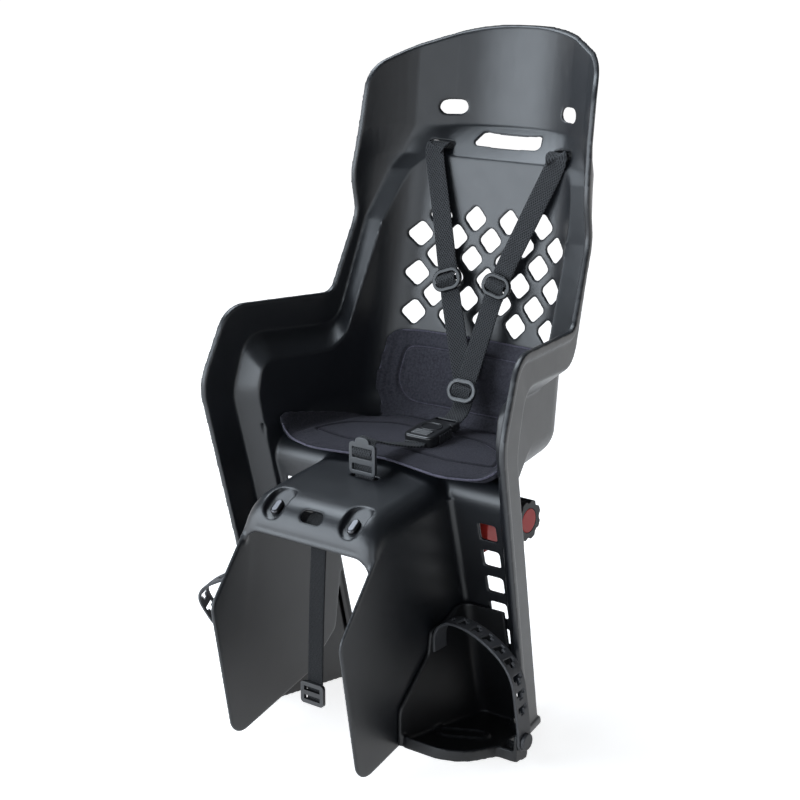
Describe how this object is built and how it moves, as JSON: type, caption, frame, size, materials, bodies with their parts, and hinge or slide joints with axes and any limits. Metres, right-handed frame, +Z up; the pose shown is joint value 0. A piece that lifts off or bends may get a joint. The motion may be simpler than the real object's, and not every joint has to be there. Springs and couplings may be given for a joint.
{
  "type": "child bike seat",
  "caption": "Rear-carrier child bike seat: moulded bucket with leg guards and hood, padded, with a shoulder harness, sliding footrests and a screw clamp for the carrier's rails.",
  "frame": {"origin": "middle of the clamp housing's flat underside, which rests on the carrier's rails", "axes": "+Z up, -Y the way the child faces, +X the child's left"},
  "size_m": [0.4072, 0.4467, 0.7281],
  "materials": {
    "shell_plastic": "fine moulded texture, satin",
    "pad_fabric": "dense felt",
    "webbing": "woven webbing",
    "adjuster_plastic": "moulded satin",
    "grey_plastic": "moulded satin",
    "buckle_plastic": "moulded satin",
    "steel": "zinc plated",
    "foot_plastic": "fine moulded texture, satin",
    "strap_rubber": "smooth moulded rubber",
    "clamp_plastic": "moulded satin",
    "red_plastic": "moulded, slightly glossy",
    "lining_rubber": "smooth moulded rubber"
  },
  "bodies": {
    "seat": {"shell": "shell_plastic", "seat_pad": "pad_fabric", "back_pad": "pad_fabric", "left_shoulder_strap": "webbing", "right_shoulder_strap": "webbing", "joined_strap": "webbing", "crotch_strap": "webbing", "safety_strap": "webbing", "left_strap_adjuster": "adjuster_plastic", "right_strap_adjuster": "adjuster_plastic", "safety_strap_buckle": "adjuster_plastic", "joining_ring": "grey_plastic", "crotch_adjuster": "grey_plastic", "buckle_tongue": "buckle_plastic", "buckle_housing": "buckle_plastic", "left_strap_anchor": "steel", "right_strap_anchor": "steel", "crotch_anchor": "steel", "safety_strap_bar": "steel", "nose_bolts": "steel", "nose_nuts": "steel", "clamp_bolts": "steel", "clamp_nuts": "steel", "clamp_housing": "clamp_plastic"},
    "left_foot": {"left_footrest": "foot_plastic", "left_foot_strap": "strap_rubber", "left_strap_peg": "foot_plastic"},
    "right_foot": {"right_footrest": "foot_plastic", "right_foot_strap": "strap_rubber", "right_strap_peg": "foot_plastic"},
    "left_clamp_jaw": {"left_jaw": "red_plastic", "left_jaw_lining": "lining_rubber", "left_guide_pins": "steel"},
    "right_clamp_jaw": {"right_jaw": "red_plastic", "right_jaw_lining": "lining_rubber", "right_guide_pins": "steel"},
    "knob_and_screw": {"clamp_knob": "clamp_plastic", "clamp_screw": "steel", "knob_face": "red_plastic"},
    "left_button": {"left_buckle_button": "buckle_plastic"},
    "right_button": {"right_buckle_button": "buckle_plastic"}
  },
  "joints": [
    {"name": "left_footrest_height", "type": "slide", "parent": "seat", "child": "left_foot", "axis": [0, -0.2425, 0.9701], "range_m": [0, 0.062]},
    {"name": "right_footrest_height", "type": "slide", "parent": "seat", "child": "right_foot", "axis": [0, -0.2425, 0.9701], "range_m": [0, 0.062]},
    {"name": "knob_turn", "type": "hinge", "parent": "seat", "child": "knob_and_screw", "pos_m": [0.128, -0.02, 0.016], "axis": [1, 0, 0], "range_deg": [0, 1260]},
    {"name": "left_jaw_slide", "type": "slide", "parent": "seat", "child": "left_clamp_jaw", "axis": [1, 0, 0], "range_m": [0, 0.014]},
    {"name": "right_jaw_slide", "type": "slide", "parent": "seat", "child": "right_clamp_jaw", "axis": [-1, 0, 0], "range_m": [0, 0.014]},
    {"name": "left_button_press", "type": "slide", "parent": "seat", "child": "left_button", "axis": [-1, 0, 0], "range_m": [0, 0.0025], "stiffness_N_per_m": 600},
    {"name": "right_button_press", "type": "slide", "parent": "seat", "child": "right_button", "axis": [1, 0, 0], "range_m": [0, 0.0025], "stiffness_N_per_m": 600}
  ],
  "couplings": [
    {"joint": "left_jaw_slide", "follows": "knob_turn", "m_per_rad": 0.000636},
    {"joint": "right_jaw_slide", "follows": "knob_turn", "m_per_rad": 0.000636}
  ]
}
